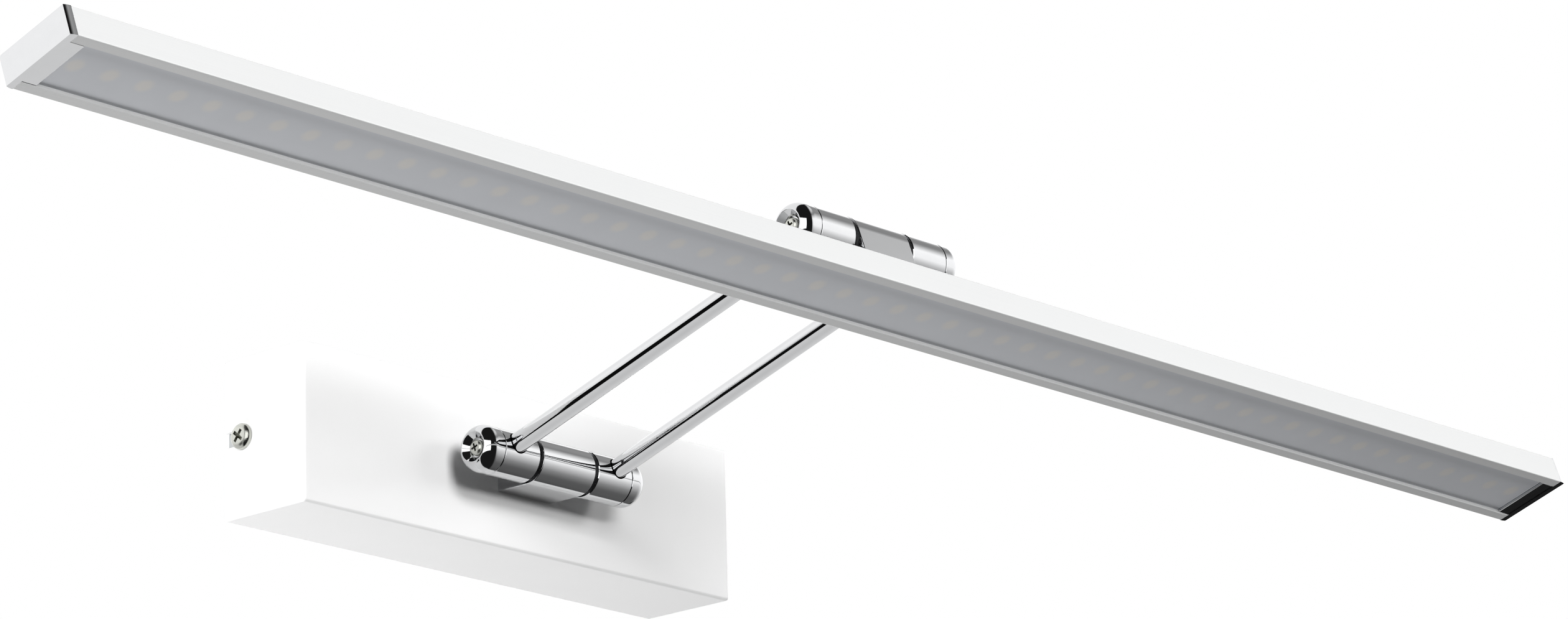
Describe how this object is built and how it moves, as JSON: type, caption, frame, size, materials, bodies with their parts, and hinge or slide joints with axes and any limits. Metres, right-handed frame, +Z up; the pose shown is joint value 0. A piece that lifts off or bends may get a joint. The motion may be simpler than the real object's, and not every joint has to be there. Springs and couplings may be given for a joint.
{
  "type": "picture light",
  "caption": "Wall picture light: white wall box, chrome two-rod arm with a friction hinge at each end, and a slim LED bar with a frosted diffuser.",
  "frame": {"origin": "middle of the wall box's open rear face, on the wall", "axes": "+X to the right as the viewer faces the wall, +Y into the wall, +Z up"},
  "size_m": [0.6, 0.177, 0.0671],
  "materials": {
    "white_powder": "fine matt powder coat",
    "satin_aluminium": "satin anodised extrusion",
    "chrome": "polished chrome plate",
    "nickel_steel": "nickel plated screw",
    "zinc_steel": "bright zinc plate",
    "black_polymer": "moulded black polymer",
    "frosted_acrylic": "frosted acrylic",
    "board_white": "white solder mask on an aluminium core",
    "led_phosphor": "LED package with a warm phosphor",
    "driver_plastic": "moulded flame-retardant plastic",
    "driver_green": "circuit board",
    "terminal_plastic": "natural polyamide",
    "brass": "turned brass",
    "black_rubber": "matt rubber",
    "lead_insulation": "smooth lead insulation",
    "foam_tape": "foam mounting tape"
  },
  "bodies": {
    "wall_box": {"backing_plate": "zinc_steel", "cable_grommet": "black_rubber", "cord_clamp": "black_polymer", "cord_clamp_screws": "zinc_steel", "cover_box": "white_powder", "cover_screws": "nickel_steel", "driver_board": "driver_green", "driver_case": "driver_plastic", "driver_lid": "driver_plastic", "driver_pad": "foam_tape", "earth_nuts": "zinc_steel", "earth_stud": "zinc_steel", "earth_washer": "zinc_steel", "lead_bush": "black_polymer", "lower_foot_screws": "zinc_steel", "lower_knuckle": "chrome", "mains_leads": "lead_insulation", "output_leads": "lead_insulation", "plate_nuts": "zinc_steel", "terminal_block": "terminal_plastic", "terminal_fixing_screw": "zinc_steel", "terminal_screws": "zinc_steel", "terminal_sleeves": "brass", "wall_plate": "zinc_steel"},
    "arm": {"arm_leads": "lead_insulation", "lower_axle": "zinc_steel", "lower_cap_left": "chrome", "lower_cap_right": "chrome", "lower_cap_screws": "nickel_steel", "lower_friction_washers": "black_polymer", "lower_swivel_left": "chrome", "lower_swivel_right": "chrome", "rod_left": "chrome", "rod_right": "chrome", "upper_axle": "zinc_steel", "upper_cap_left": "chrome", "upper_cap_right": "chrome", "upper_cap_screws": "nickel_steel", "upper_friction_washers": "black_polymer", "upper_swivel_left": "chrome", "upper_swivel_right": "chrome"},
    "light_bar": {"diffuser": "frosted_acrylic", "head_end_cap_left": "chrome", "head_end_cap_right": "chrome", "head_leads": "lead_insulation", "head_profile": "satin_aluminium", "led_board": "board_white", "led_chips": "led_phosphor", "upper_foot_screws": "zinc_steel", "upper_knuckle": "chrome"}
  },
  "joints": [
    {"name": "arm_tilt", "type": "hinge", "parent": "wall_box", "child": "arm", "pos_m": [0, -0.0423, 0], "axis": [-1, 0, 0], "range_deg": [-107.9, 72.1]},
    {"name": "bar_tilt", "type": "hinge", "parent": "arm", "child": "light_bar", "pos_m": [0, -0.15935, 0.0378], "axis": [1, 0, 0], "range_deg": [-90, 30]}
  ]
}
